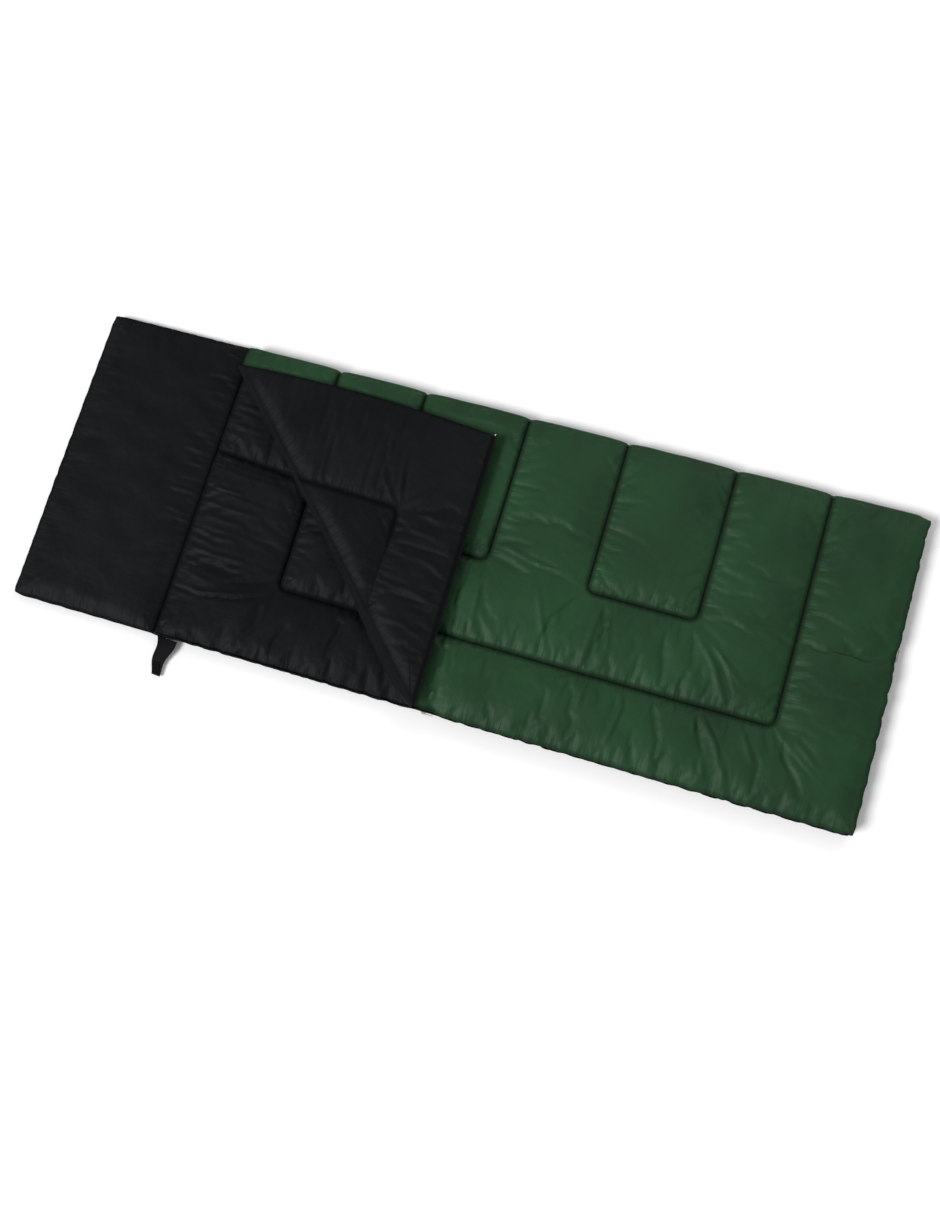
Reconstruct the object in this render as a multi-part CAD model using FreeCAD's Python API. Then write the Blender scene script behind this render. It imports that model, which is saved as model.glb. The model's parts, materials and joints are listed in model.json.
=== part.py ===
import FreeCAD, Part
import math
import os
from FreeCAD import Placement, Rotation, Vector

# Rectangular sleeping bag with a hood, lying unzipped at one corner.
# Millimetres, +Z up. The origin is on the ground under the middle of the whole bag.
# +X runs from the hood to the foot, +Y from the zipped long edge to the folded long edge.

# Overall sizes
LENGTH = 2200.0
WIDTH = 800.0
HOOD_LENGTH = 400.0
LAYER = 28.0            # one quilted layer: shell, filling and lining
SKIN = 1.0              # shell or lining cloth
GAP = 0.4               # air between one layer and the next
EDGE_ROUND = 12.0       # roundness of a layer's outer long edges

HEAD_X = -LENGTH / 2
FOOT_X = LENGTH / 2
SEAM_X = HEAD_X + HOOD_LENGTH
FAR_Y = WIDTH / 2
NEAR_Y = -WIDTH / 2

# Seam between hood and base: a V pressed in by the stitching
SEAM_HINGE_Z = 26.0
SEAM_HALF_GAP = 0.2

# Upper layer and its turned-back corner
HEM_X = SEAM_X + 4.0   # open head hem of the upper layer
FLAP_TOP_Y = 340.0      # where the crease meets the head hem
CREASE_X = 22.0         # where the crease meets the zipped edge
COVER_Z = LAYER + GAP
COVER_TOP = COVER_Z + LAYER
CREASE_Z = COVER_TOP + 0.9
CREASE_HALF_GAP = 0.2

# Zip, measured inwards from the bag's outline and up or down from the zip's middle
ZIP_Z = LAYER + GAP / 2
PAD_IN = 4.0            # the quilted edge stands back this far behind the zip
ZIP_CORNER = 34.0       # outline radius at the corner the zip runs round
GROOVE_DEPTH = 10.0
GROOVE_HALF = 8.0
TAPE_OUT = 3.0
TAPE_EDGE = 2.7
TAPE_FAR = 14.0
TEETH_OUT = 2.0
TEETH_IN = 5.0
TEETH_NEAR = 0.7
TEETH_FAR = 2.7
ZIP_FAR_END = FAR_Y - 20.0
STOP_LENGTH = 5.0

# Sliders
SLIDER_A_X = 35.0
SLIDER_B_Y = 41.0
SLIDER_LENGTH = 14.0
SLIDER_HALF = 5.0

# Quilting, as distances along X and Y
THREAD_WIDTH = 1.2
THREAD_DEPTH = 0.6
BIG_U = (-440.0, 860.0, -200.0)
SMALL_US = ((-200.0, 80.0, 9.0), (340.0, 620.0, 0.0))
HEAD_BOX = (-424.0, 105.0)
LINE_CORNER = 25.0

# Closure tab at the top of the zip
TAB_X0 = -698.0
TAB_ROOT = 48.0
TAB_TIP = 22.0
TAB_LENGTH = 78.0
TAB_LEAN = 10.0
TAB_Z = 11.2
TAB_THICK = 2.0
PATCH_THICK = 1.2

os.makedirs("parts", exist_ok=True)


def save(shape, node):
    """Writes one sub-part."""
    shape.exportStep("parts/" + node + ".step")


def corner_arc(before, at, after, radius):
    """Start, middle and end of the arc that rounds one corner."""
    back = (before - at).normalize()
    ahead = (after - at).normalize()
    half = back.getAngle(ahead) / 2
    reach = radius / math.tan(half)
    centre = at + (back + ahead).normalize() * (radius / math.sin(half))
    middle = centre + (at - centre).normalize() * radius
    return at + back * reach, middle, at + ahead * reach


def rounded_wire(points, radii, z):
    """Closed outline with a radius at each corner."""
    count = len(points)
    corners = [Vector(x, y, z) for x, y in points]
    runs = []
    for i, radius in enumerate(radii):
        if radius > 0:
            runs.append(corner_arc(corners[i - 1], corners[i], corners[(i + 1) % count], radius))
        else:
            runs.append((corners[i],))
    edges = []
    for i, run in enumerate(runs):
        if len(run) == 3:
            edges.append(Part.Arc(*run).toShape())
        edges.append(Part.makeLine(run[-1], runs[(i + 1) % count][0]))
    return Part.Wire(edges)


def prism(points, radii, z0, z1):
    """Upright solid over a rounded outline."""
    return Part.Face(rounded_wire(points, radii, z0)).extrude(Vector(0, 0, z1 - z0))


def inset_points(points, distance):
    """Moves every side of an anticlockwise outline inwards."""
    lines = []
    for i, (x0, y0) in enumerate(points):
        x1, y1 = points[(i + 1) % len(points)]
        length = math.hypot(x1 - x0, y1 - y0)
        nx, ny = -(y1 - y0) / length, (x1 - x0) / length
        lines.append((nx, ny, nx * x0 + ny * y0 + distance))
    moved = []
    for i, (a1, b1, c1) in enumerate(lines):
        a0, b0, c0 = lines[i - 1]
        det = a0 * b1 - a1 * b0
        moved.append(((c0 * b1 - c1 * b0) / det, (a0 * c1 - a1 * c0) / det))
    return moved


def on_level(edge, z):
    """True for an edge lying flat at height z."""
    return all(abs(v.Point.z - z) < 0.01 for v in edge.Vertexes)


def padded_layer(points, radii, z0, soft_side, sharp, inset, cutters):
    """One quilted layer's solid; soft_side is the face whose long edges are rounded."""
    low, high = z0 + inset, z0 + LAYER - inset
    outline = inset_points(points, inset)
    corner = [max(r - inset, 0.0) for r in radii]
    solid = prism(outline, corner, low, high)
    level = low if soft_side == "bottom" else high
    rims = [e for e in solid.Edges if on_level(e, level) and not sharp(e)]
    solid = solid.makeFillet(EDGE_ROUND - inset, rims)
    for cutter in cutters:
        solid = solid.cut(cutter(inset))
    return solid


def zip_strip(inner, outer, low, high, x0=HEM_X, y1=ZIP_FAR_END):
    """Strip following the zip round the near-foot corner; inner and outer are inward distances."""
    near_in, near_out = NEAR_Y + inner, NEAR_Y + outer
    foot_in, foot_out = FOOT_X - inner, FOOT_X - outer
    if x0 > FOOT_X - ZIP_CORNER or y1 < NEAR_Y + ZIP_CORNER:
        return Part.makeBox(1, 1, 1)
    points = [(x0, near_out), (foot_out, near_out), (foot_out, y1)]
    points += [(foot_in, y1), (foot_in, near_in), (x0, near_in)]
    radii = [0, ZIP_CORNER - outer, 0, 0, ZIP_CORNER - inner, 0]
    return prism(points, radii, ZIP_Z + low, ZIP_Z + high)


def groove(inset):
    """Room behind the zip for the sliders' back plates."""
    reach = GROOVE_HALF + inset
    return zip_strip(GROOVE_DEPTH + PAD_IN + inset, -1.0, -reach, reach, HEM_X - inset, FAR_Y + 1)


def seam_wedge(side):
    """Half of the V at the hood seam; side is +1 for the base and -1 for the hood."""
    def wedge(inset):
        depth = LAYER + 5.0 - SEAM_HINGE_Z
        start = SEAM_X - side * 5.0
        slope = inset * math.sqrt(2)
        low = Vector(start, -WIDTH, SEAM_HINGE_Z - 5.0 - slope)
        corners = [low, Vector(start, -WIDTH, LAYER + 5.0)]
        corners.append(Vector(SEAM_X + side * (depth + slope), -WIDTH, LAYER + 5.0))
        return Part.Face(Part.makePolygon(corners + [low])).extrude(Vector(0, 2 * WIDTH, 0))
    return wedge


def split_skins(outer, fill, z0, shell_below):
    """Cuts the cloth round a filling into its green shell and its black lining."""
    cloth = outer.cut(fill)
    middle = z0 + LAYER / 2
    room = Part.makeBox(2 * LENGTH, 2 * WIDTH, LAYER, Vector(-LENGTH, -WIDTH, middle - LAYER))
    lower, upper = cloth.common(room), cloth.cut(room)
    return (lower, upper) if shell_below else (upper, lower)


def thread_line(points, z):
    """One flat run of stitches with rounded turns, sunk into a face at height z."""
    half = THREAD_WIDTH / 2
    sides = []
    for shift in (half, -half):
        side = []
        for i, (x, y) in enumerate(points):
            before = points[max(i - 1, 0)]
            after = points[min(i + 1, len(points) - 1)]
            normals = []
            for (xa, ya), (xb, yb) in ((before, (x, y)), ((x, y), after)):
                span = math.hypot(xb - xa, yb - ya)
                if span > 0:
                    normals.append((-(yb - ya) / span, (xb - xa) / span))
            nx = sum(n[0] for n in normals) if len(normals) == 2 else normals[0][0]
            ny = sum(n[1] for n in normals) if len(normals) == 2 else normals[0][1]
            side.append((x + nx * shift, y + ny * shift))
        sides.append(side)
    outline = sides[0] + sides[1][::-1]
    inner = LINE_CORNER
    radii = []
    for i in range(len(outline)):
        order = i if i < len(points) else len(outline) - 1 - i
        radii.append(0 if order in (0, len(points) - 1) else inner)
    return prism(outline, radii, z, z + THREAD_DEPTH)


def quilting(lines, z0):
    """The same stitch lines on both faces of a layer."""
    runs = []
    for z in (z0, z0 + LAYER - THREAD_DEPTH):
        runs += [thread_line(points, z) for points in lines]
    return Part.makeCompound(runs)


def u_line(x0, x1, bottom, top=FAR_Y - EDGE_ROUND - 4):
    """A U of stitching that opens towards the folded edge."""
    return [(x0, top), (x0, bottom), (x1, bottom), (x1, top)]


def dressed(points, radii, z0, shell_below, sharp, cutters, lines, keep):
    """Shell, filling, lining and stitching of one layer."""
    side = "bottom" if shell_below else "top"
    outer = padded_layer(points, radii, z0, side, sharp, 0.0, cutters)
    fill = padded_layer(points, radii, z0, side, sharp, SKIN, cutters)
    shell, lining = split_skins(outer, fill, z0, shell_below)
    if not lines:
        return shell, fill, lining, None
    thread = quilting(lines, z0).common(keep)
    return shell.cut(thread), fill, lining.cut(thread), thread


def box(x0, x1, y0, y1, z0, z1):
    """Box from its six limits."""
    return Part.makeBox(x1 - x0, y1 - y0, z1 - z0, Vector(x0, y0, z0))


pad_near = NEAR_Y + PAD_IN
pad_foot = FOOT_X - PAD_IN
soft_corner = 25.0

# Base, from the hood seam to the foot
base_points = [(SEAM_X + SEAM_HALF_GAP, pad_near), (pad_foot, pad_near)]
base_points += [(pad_foot, FAR_Y), (SEAM_X + SEAM_HALF_GAP, FAR_Y)]
base_radii = [0, ZIP_CORNER - PAD_IN, soft_corner, 0]
base_lines = [
    [(SEAM_X + 24, HEAD_BOX[1]), (HEAD_BOX[0], HEAD_BOX[1]), (HEAD_BOX[0], BIG_U[2]),
     (BIG_U[1], BIG_U[2]), (BIG_U[1], FAR_Y - EDGE_ROUND - 4)],
]
base_lines += [u_line(*u) for u in SMALL_US]


def at_seam(edge):
    """Edges that lie on the hood seam."""
    return all(abs(v.Point.x - SEAM_X) < 2.5 for v in edge.Vertexes)


everywhere = box(-LENGTH, LENGTH, -WIDTH, WIDTH, -1, 200)
base_shell, base_fill, base_lining, base_thread = dressed(
    base_points, base_radii, 0.0, True, at_seam, [seam_wedge(1), groove], base_lines, everywhere)
save(base_shell, "base_outer_shell")
save(base_fill, "base_fill")
save(base_lining, "base_lining")
save(base_thread, "base_quilting_thread")

# Hood
hood_points = [(HEAD_X, NEAR_Y), (SEAM_X - SEAM_HALF_GAP, NEAR_Y)]
hood_points += [(SEAM_X - SEAM_HALF_GAP, FAR_Y), (HEAD_X, FAR_Y)]
hood_radii = [soft_corner, 0, 0, soft_corner]
hood_shell, hood_fill, hood_lining, _ = dressed(
    hood_points, hood_radii, 0.0, True, at_seam, [seam_wedge(-1)], [], everywhere)
save(hood_shell, "hood_outer_shell")
save(hood_fill, "hood_fill")
save(hood_lining, "hood_lining")

# Crease between the upper layer and its turned-back corner
crease_run = Vector(CREASE_X - HEM_X, NEAR_Y - FLAP_TOP_Y, 0).normalize()
crease_side = Vector(-crease_run.y, crease_run.x, 0)


def crease_at(x=None, y=None, side=1):
    """Point on the crease, moved half a gap to the cover (+1) or the flap (-1)."""
    shift = crease_side * (side * CREASE_HALF_GAP)
    px, py = HEM_X + shift.x, FLAP_TOP_Y + shift.y
    if x is None:
        return px + (y - py) * crease_run.x / crease_run.y, y
    return x, py + (x - px) * crease_run.y / crease_run.x


cover_points = [crease_at(y=pad_near), (pad_foot, pad_near), (pad_foot, FAR_Y), (HEM_X, FAR_Y)]
cover_points += [crease_at(x=HEM_X)]
cover_radii = [0, ZIP_CORNER - PAD_IN, soft_corner, 15.0, 0]
flap_points = [(HEM_X, pad_near), crease_at(y=pad_near, side=-1), crease_at(x=HEM_X, side=-1)]
flap_radii = [15.0, 0, 0]
upper_lines = [u_line(*BIG_U)] + [u_line(*u) for u in SMALL_US]


def at_crease(edge):
    """Edges that lie along the crease."""
    offsets = []
    for v in edge.Vertexes:
        offsets.append((v.Point - Vector(HEM_X, FLAP_TOP_Y, v.Point.z)).dot(crease_side))
    return all(abs(d) < 2.5 for d in offsets)


cover_area = prism(cover_points, [0] * 5, 0, 200)
cover_shell, cover_fill, cover_lining, cover_thread = dressed(
    cover_points, cover_radii, COVER_Z, False, at_crease, [groove], upper_lines, cover_area)
save(cover_shell, "cover_outer_shell")
save(cover_fill, "cover_fill")
save(cover_lining, "cover_lining")
save(cover_thread, "cover_quilting_thread")


def turned_back(shape):
    """Folds a closed piece over on the crease."""
    moved = shape.copy()
    moved.rotate(Vector(HEM_X, FLAP_TOP_Y, CREASE_Z), crease_run, 180)
    return moved


flap_area = prism(flap_points, [0] * 3, 0, 200)
flap_parts = dressed(
    flap_points, flap_radii, COVER_Z, False, at_crease, [groove], upper_lines, flap_area)
flap_names = ("flap_outer_shell", "flap_fill", "flap_lining", "flap_quilting_thread")
for flap_piece, flap_name in zip(flap_parts, flap_names):
    save(turned_back(flap_piece), flap_name)

# Zip tapes and rows of teeth. The upper rows are cut where the corner turns back.
base_tape = zip_strip(PAD_IN, TAPE_OUT, -TAPE_FAR, -TAPE_EDGE)
base_teeth = zip_strip(TEETH_IN, TEETH_OUT, -TEETH_FAR, -TEETH_NEAR)
upper_tape = zip_strip(PAD_IN, TAPE_OUT, TAPE_EDGE, TAPE_FAR)
upper_teeth = zip_strip(TEETH_IN, TEETH_OUT, TEETH_NEAR, TEETH_FAR)
stop_room = box(HEM_X - 1, HEM_X + STOP_LENGTH, NEAR_Y, NEAR_Y + TEETH_IN + 1, 0, 100)
far_room = box(FOOT_X - 10, FOOT_X + 1, ZIP_FAR_END - STOP_LENGTH, FAR_Y, 0, 100)
reach_out = 3.0
cover_side = prism([crease_at(y=NEAR_Y - reach_out), (FOOT_X + 5, NEAR_Y - reach_out),
                    (FOOT_X + 5, FAR_Y), crease_at(y=FAR_Y)], [0] * 4, 0, 200)
flap_side = prism([(HEM_X - 5, NEAR_Y - reach_out), crease_at(y=NEAR_Y - reach_out, side=-1),
                   crease_at(x=HEM_X - 5, side=-1)], [0] * 3, 0, 200)
save(base_tape, "base_zip_tape")
save(base_teeth.cut(stop_room).cut(far_room), "base_zip_teeth")
save(upper_tape.common(cover_side), "cover_zip_tape")
save(upper_teeth.cut(far_room).common(cover_side), "cover_zip_teeth")
save(turned_back(upper_tape.common(flap_side)), "flap_zip_tape")
save(turned_back(upper_teeth.cut(stop_room).common(flap_side)), "flap_zip_teeth")

# End stops: one clamped on each row at the top of the zip, one at its foot end
stop_out = 1.6
near_row = (NEAR_Y + stop_out, NEAR_Y + TEETH_IN)
base_row = (ZIP_Z - TEETH_FAR, ZIP_Z - TEETH_NEAR)
upper_row = (ZIP_Z + TEETH_NEAR, ZIP_Z + TEETH_FAR)
top_stop = box(HEM_X, HEM_X + STOP_LENGTH, *near_row, *base_row)
foot_stop = box(FOOT_X - TEETH_IN, FOOT_X - stop_out, ZIP_FAR_END - STOP_LENGTH, ZIP_FAR_END,
                *base_row)
save(Part.makeCompound([top_stop, foot_stop]), "base_zip_end_stops")
save(turned_back(box(HEM_X, HEM_X + STOP_LENGTH, *near_row, *upper_row)), "flap_zip_top_stop")

# Slider, drawn at the origin facing -Y with the zip running along X
half_length = SLIDER_LENGTH / 2
front_out, front_in = 0.2, 1.6
back_out, back_in = 5.4, 6.8
blade_half = 0.3
arch_half, arch_side, arch_top = 4.0, 2.2, -3.3
pin_y, pin_radius = -1.5, 0.8
arm_in, arm_out = 2.6, 3.8
pull_start, pull_end = 5.4, 26.0
pull_half = 0.8

plate_front = box(-half_length, half_length, front_out, front_in, -SLIDER_HALF, SLIDER_HALF)
plate_back = box(-half_length, half_length, back_out, back_in, -SLIDER_HALF, SLIDER_HALF)
blade = box(-half_length + 2, half_length - 2, front_in, back_out, -blade_half, blade_half)
arch = box(-arch_half, arch_half, arch_top, front_out, -arch_side, arch_side)
arch_hole = box(-2.0, 2.0, pin_y - pin_radius - 0.4, front_out, -arch_side, arch_side)
upright = [e for e in plate_front.Edges if abs(e.Vertexes[0].Y - e.Vertexes[-1].Y) > 1]
plate_front = plate_front.makeFillet(2.0, upright)
upright = [e for e in plate_back.Edges if abs(e.Vertexes[0].Y - e.Vertexes[-1].Y) > 1]
plate_back = plate_back.makeFillet(2.0, upright)
slider = plate_front.fuse([plate_back, blade, arch.cut(arch_hole)]).removeSplitter()

pin = Part.makeCylinder(pin_radius, 2 * arm_in, Vector(0, pin_y, -arm_in), Vector(0, 0, 1))
arm = box(-pin_radius, pull_start + 1, pin_y - pull_half, pin_y + pull_half, arm_in, arm_out)
lower_arm = arm.mirror(Vector(0, 0, 0), Vector(0, 0, 1))
grip = box(pull_start, pull_end, pin_y - pull_half, pin_y + pull_half, -arm_out, arm_out)
eye = Part.makeCylinder(1.6, 4, Vector(pull_end - 4, pin_y - 2, 0), Vector(0, 1, 0))
pull = pin.fuse([arm, lower_arm, grip]).cut(eye).removeSplitter()

near_place = Placement(Vector(SLIDER_A_X, NEAR_Y, ZIP_Z), Rotation())
foot_place = Placement(Vector(FOOT_X, SLIDER_B_Y, ZIP_Z), Rotation(Vector(0, 0, 1), 90))
for slider_name, place in (("slider_a", near_place), ("slider_b", foot_place)):
    for piece, piece_name in ((slider, "_body"), (pull, "_pull")):
        placed = piece.copy()
        placed.Placement = place.multiply(placed.Placement)
        save(placed, slider_name + piece_name)

# Closure tab with its hook patch, its sewn-in root, and the loop patch it closes on
anchor_out = NEAR_Y
tab_root_y = anchor_out - 1.6
save(box(TAB_X0, TAB_X0 + TAB_ROOT, anchor_out, pad_near, TAB_Z, TAB_Z + TAB_THICK), "tab_anchor")
tab_end_y = tab_root_y - TAB_LENGTH
tab_centre = TAB_X0 + TAB_ROOT / 2 - TAB_LEAN
tab_points = [(tab_centre - TAB_TIP / 2, tab_end_y), (tab_centre + TAB_TIP / 2, tab_end_y),
              (TAB_X0 + TAB_ROOT, tab_root_y), (TAB_X0, tab_root_y)]
tab_radii = [4.0, 4.0, 0, 0]
closure_tab = prism(tab_points, tab_radii, TAB_Z, TAB_Z + TAB_THICK)
hook_points = [(tab_centre - 8, tab_end_y + 4), (tab_centre + 8, tab_end_y + 4),
               (tab_centre + 10, tab_end_y + 32), (tab_centre - 10, tab_end_y + 32)]
hook = prism(hook_points, [2.0] * 4, TAB_Z + TAB_THICK, TAB_Z + TAB_THICK + PATCH_THICK)
save(closure_tab, "closure_tab")
save(hook, "tab_hook_patch")

loop_x0, loop_x1 = HEM_X + 12.0, HEM_X + 52.0
loop_y0, loop_y1 = pad_near + 14.0, pad_near + 44.0
loop_points = [(loop_x0, loop_y0), (loop_x1, loop_y0), (loop_x1, loop_y1), (loop_x0, loop_y1)]
loop_patch = prism(loop_points, [3.0] * 4, COVER_TOP, COVER_TOP + PATCH_THICK)
save(turned_back(loop_patch), "flap_loop_patch")
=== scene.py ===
import json
import math

import bmesh
import bpy
import numpy as np
from mathutils import Matrix, Vector


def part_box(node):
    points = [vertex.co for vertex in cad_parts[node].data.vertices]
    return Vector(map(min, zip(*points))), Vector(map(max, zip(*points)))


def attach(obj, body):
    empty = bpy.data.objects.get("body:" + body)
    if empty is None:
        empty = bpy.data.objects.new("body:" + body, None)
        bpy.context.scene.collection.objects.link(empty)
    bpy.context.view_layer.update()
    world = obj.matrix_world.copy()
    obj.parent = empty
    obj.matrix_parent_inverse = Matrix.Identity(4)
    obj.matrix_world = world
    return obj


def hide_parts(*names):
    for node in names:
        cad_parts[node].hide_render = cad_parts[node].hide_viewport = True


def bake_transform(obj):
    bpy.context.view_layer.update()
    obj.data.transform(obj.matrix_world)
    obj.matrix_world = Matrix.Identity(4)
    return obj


# Rectangular sleeping bag with a hood, its top corner unzipped and turned back.
# Sizes here are in millimetres and become metres when a piece is made.

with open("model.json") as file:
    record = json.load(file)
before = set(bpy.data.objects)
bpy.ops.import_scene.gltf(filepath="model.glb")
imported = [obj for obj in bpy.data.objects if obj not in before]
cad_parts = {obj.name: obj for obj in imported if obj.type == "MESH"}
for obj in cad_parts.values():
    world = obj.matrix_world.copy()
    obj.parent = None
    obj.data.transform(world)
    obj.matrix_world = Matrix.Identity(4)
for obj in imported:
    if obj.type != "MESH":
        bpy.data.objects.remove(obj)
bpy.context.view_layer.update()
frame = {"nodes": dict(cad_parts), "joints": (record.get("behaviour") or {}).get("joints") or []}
bpy.ops.object.select_all(action="DESELECT")

MM = 0.001

# Outline of the bag
HEAD, SEAM, HEM, FOOT = -1100.0, -700.0, -696.0, 1100.0
NEAR, FAR = -400.0, 400.0
FOLD_Y, FOLD_OUT = 396.0, 13.0   # where the far fold starts, and how far it rounds out
SEW_IN = 6.0            # the quilts are sewn to the zip tape this far inside the outline
ZIP_Z = 28.2
SEAM_Z = 28.4           # where the cover meets the far fold
BASE_EDGE, COVER_EDGE, HEM_EDGE = 17.5, 38.5, 42.0      # heights of the sewn edges
ZIP_CORNER = 34.0
ZIP_FAR_END = 380.0
FLAP_TOP = 340.0
SLIDER_X, SLIDER_Y = 35.0, 41.0
ROOM_AT = {0: SLIDER_X, 1: SLIDER_Y}                # a slider rests on the near edge and on the foot edge
OUTWARDS = ((0, -1), (1, 0), (0, 1), (-1, 0))       # of the near, foot, far and head edge
FAR_EDGE = 2
TAPE_EDGE, TEETH_AT = 3.6, 3.5      # inset of the tape's edge and of the teeth from the outline
TEETH_END = 7.0         # the teeth stop this far short of the zip's ends
TOOTH_PITCH = 3.4
BASE_TOP, COVER_TOP = 28.0, 57.0

# Folds and edges
CREASE_LENGTH = 1031.0
CREASE_SHADE_GAP = 8.0        # the crease is puckered, rougher and darkened with painted shade as a seam is at this distance
OPEN_GAP = 70.0         # and a rounded fold as cloth is at this distance
EASE = (-24.0, 4.0)     # the turned-back corner is eased this far at its tip
FOLD_HALF = 25.5        # half the height of the fold at the crease, were it full
ROLL_THIN, ROLL_THICK = 12.0, 14.5      # half the roll's real height: at its ends, and at most
LIP = 1.3               # each face stands this far off the seam it shares with the other face
TUCK = 5.0              # the far fold's lining runs this far in under the linings beside it
ARC = 20                # steps round a rolled fold
STRIP = [k / 8 for k in range(9)]       # points across a strip of cloth
FINE, COARSE = 5.0, 10.0        # spacing of the sheets' points
SEAM_RISE, PUFF_RISE = 21.0, 125.0      # the cloth rises steeply beside a seam and gently after it
EDGE_PUFF = 105.0       # and gently from an edge
SWELL_AT = 7.0          # an edge swells out most at this distance from its seam

# Cloth simulation: frames, the sheet's spacing, and Blender's cloth settings
SIM_FRAMES = 18
SIM_STEP = 8.0
CLOTH = {"quality": 5, "mass": 0.12, "air_damping": 4.0, "tension_stiffness": 12.0,
         "compression_stiffness": 12.0, "shear_stiffness": 4.0, "bending_stiffness": 0.15}

# Quilting: a big U from the folded edge with two small ones inside it
BIG_U = [(-440, 400), (-440, -200), (860, -200), (860, 400)]
SMALL_US = [[(-200, 400), (-200, 9), (80, 9), (80, 400)],
            [(340, 400), (340, 0), (620, 0), (620, 400)]]
BASE_LINE = [(-700, 112), (-424, 90), (-422, -200), (860, -200), (860, 400)]
LINE_CORNER = 24.0

# The turned-back corner swings about the crease
crease_joint = next(j for j in frame["joints"] if j["name"] == "flap_close")
CREASE_AT = Vector(crease_joint["pos_m"]) / MM
CREASE_RUN = Vector(crease_joint["axis"]).normalized()
CREASE_SIDE = Vector((-CREASE_RUN.y, CREASE_RUN.x, 0))


def smooth(t):
    """Eases from 0 to 1."""
    t = np.clip(t, 0, 1)
    return t * t * (3 - 2 * t)


def rounded(points, radius, steps=5):
    """A stitch line with its turns rounded."""
    line = [np.array(points[0], float)]
    for before, at, after in zip(points, points[1:], points[2:]):
        at = np.array(at, float)
        back = (np.array(before) - at) / np.linalg.norm(np.array(before) - at)
        ahead = (np.array(after) - at) / np.linalg.norm(np.array(after) - at)
        start, end = at + back * radius, at + ahead * radius
        for k in range(steps + 1):
            t = k / steps
            line.append((1 - t) ** 2 * start + 2 * t * (1 - t) * at + t * t * end)
    line.append(np.array(points[-1], float))
    return line


def along(X, Y, line):
    """Distance of each point from a line, how far along the line it is, and on which side."""
    best = np.full(X.shape, 1e9)
    place, side = np.zeros(X.shape), np.zeros(X.shape)
    gone = 0.0
    for a, b in zip(line, line[1:]):
        run = np.array(b) - np.array(a)
        length = max(float(np.hypot(*run)), 1e-9)
        east, north = X - a[0], Y - a[1]
        t = np.clip((east * run[0] + north * run[1]) / length ** 2, 0, 1)
        d = np.hypot(east - t * run[0], north - t * run[1])
        nearer = d < best
        best = np.where(nearer, d, best)
        place = np.where(nearer, gone + t * length, place)
        side = np.where(nearer, np.sign(east * run[1] - north * run[0]), side)
        gone += length
    return best, place, side


def arch(t):
    """Quarter ellipse from 0 up to 1."""
    return np.sqrt(1 - (1 - np.clip(t, 0, 1)) ** 2)


def ripple(s, seed, waves=(27.0, 39.0, 61.0)):
    """Uneven gathers along a seam, between -1 and 1."""
    total = np.zeros(np.shape(s))
    for k, wave in enumerate(waves):
        phase = 2.4 * seed + 1.7 * k
        total = total + np.sin(2 * math.pi * s / wave + phase + 1.3 * np.sin(s / (90 + 17 * k) + seed))
    return total / len(waves)


def ribs(s, d, seed, pitch):
    """Rounded ribs of gathered cloth with sharp valleys between, fanning out from a seam."""
    s = s + 0.22 * d * np.sin(s / 83 + seed)
    bent = s + 8 * np.sin(s / 67 + seed) + 4 * np.sin(s / 23 + 2 * seed)
    strength = 0.35 + 0.65 * np.sin(s / 151 + 1.9 * seed) ** 2
    return (1.7 * np.abs(np.sin(math.pi * bent / pitch)) ** 0.8 - 1) * strength


def slow_noise(X, Y, seed, wave=150.0):
    """Gentle lumps of filling, between about -1 and 1."""
    total = np.zeros(X.shape)
    for k in range(5):
        angle = 0.7 + 1.9 * k + 0.63 * seed
        size = wave * (0.55 + 0.23 * k)
        travel = X * math.cos(angle) + Y * math.sin(angle)
        bend = 0.8 * np.sin((X * math.sin(angle) - Y * math.cos(angle)) / size * 3.1 + seed)
        total += np.sin(2 * math.pi * travel / size + bend + 1.1 * k)
    return total / 3.0


def axis_marks(start, stop, step, seams=()):
    """Grid lines along one side, closer together at both edges and at the seams."""
    count = max(2, int(round((stop - start) / step)))
    marks = np.linspace(start, stop, count + 1)
    close = [start, start + 0.8, start + 2.5, stop - 2.5, stop - 0.8, stop]
    for seam in seams:
        close += [seam - 3.6, seam - 1.4, seam, seam + 1.4, seam + 3.6]
    close = [c for c in close if start <= c <= stop]
    kept = [m for m in marks if min(abs(m - c) for c in close) > 0.42 * step or m in (start, stop)]
    return np.unique(np.round(kept + close, 3))


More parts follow.
